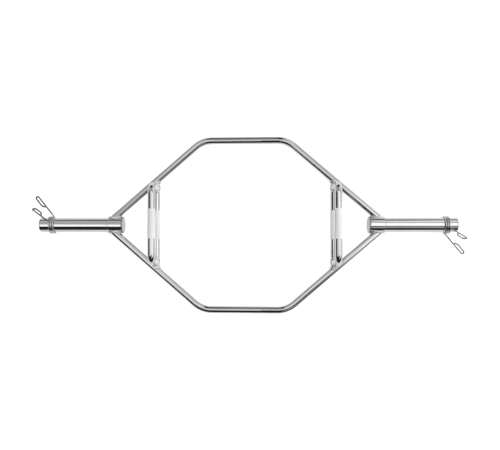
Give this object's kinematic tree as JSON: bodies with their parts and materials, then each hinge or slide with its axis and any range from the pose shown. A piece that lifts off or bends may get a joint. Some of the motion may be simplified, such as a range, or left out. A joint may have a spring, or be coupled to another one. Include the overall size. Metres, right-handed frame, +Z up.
{
  "type": "hex trap bar",
  "caption": "Chromed steel bar with a six-sided welded frame to stand in, plate sleeves at both ends, low and raised grips, and squeeze-wire spring collars on the sleeves.",
  "frame": {"origin": "on the floor under the middle of the bar, where it lies on its collars", "axes": "+X along the sleeves, +Y from front to rear across the frame, +Z up"},
  "size_m": [1.4735, 0.613, 0.1438],
  "materials": {
    "bar_chrome": "bright chrome plating, with a matte knurled band on each grip",
    "sleeve_chrome": "bright chrome plating",
    "weld_chrome": "chrome plating over a smoothed weld bead",
    "spring_wire": "bright plated spring wire"
  },
  "bodies": {
    "frame": {"rear_frame_bar": "bar_chrome", "front_frame_bar": "bar_chrome", "left_sleeve": "sleeve_chrome", "left_hub": "sleeve_chrome", "left_inner_plate": "sleeve_chrome", "left_end_cap": "sleeve_chrome", "left_low_grip": "bar_chrome", "left_raised_grip": "bar_chrome", "left_hub_welds": "weld_chrome", "left_low_grip_welds": "weld_chrome", "left_raised_grip_welds": "weld_chrome", "right_sleeve": "sleeve_chrome", "right_hub": "sleeve_chrome", "right_inner_plate": "sleeve_chrome", "right_end_cap": "sleeve_chrome", "right_low_grip": "bar_chrome", "right_raised_grip": "bar_chrome", "right_hub_welds": "weld_chrome", "right_low_grip_welds": "weld_chrome", "right_raised_grip_welds": "weld_chrome"},
    "left_collar": {"left_collar_coil": "spring_wire", "left_collar_inner_arm": "spring_wire"},
    "left_collar_lever": {"left_collar_outer_arm": "spring_wire"},
    "right_collar": {"right_collar_coil": "spring_wire", "right_collar_inner_arm": "spring_wire"},
    "right_collar_lever": {"right_collar_outer_arm": "spring_wire"}
  },
  "joints": [
    {"name": "left_collar_slide", "type": "slide", "parent": "frame", "child": "left_collar", "axis": [-1, 0, 0], "range_m": [-0.187, 0.06]},
    {"name": "left_collar_squeeze", "type": "hinge", "parent": "left_collar", "child": "left_collar_lever", "pos_m": [-0.678, 0, 0.03075], "axis": [-1, 0, 0], "range_deg": [0, 35], "stiffness_Nm_per_rad": 6, "springref_deg": -11.46, "deforming": ["left_collar_coil"]},
    {"name": "right_collar_slide", "type": "slide", "parent": "frame", "child": "right_collar", "axis": [1, 0, 0], "range_m": [-0.193, 0.06]},
    {"name": "right_collar_squeeze", "type": "hinge", "parent": "right_collar", "child": "right_collar_lever", "pos_m": [0.6845, 0, 0.03075], "axis": [1, 0, 0], "range_deg": [0, 35], "stiffness_Nm_per_rad": 6, "springref_deg": -11.46, "deforming": ["right_collar_coil"]}
  ]
}
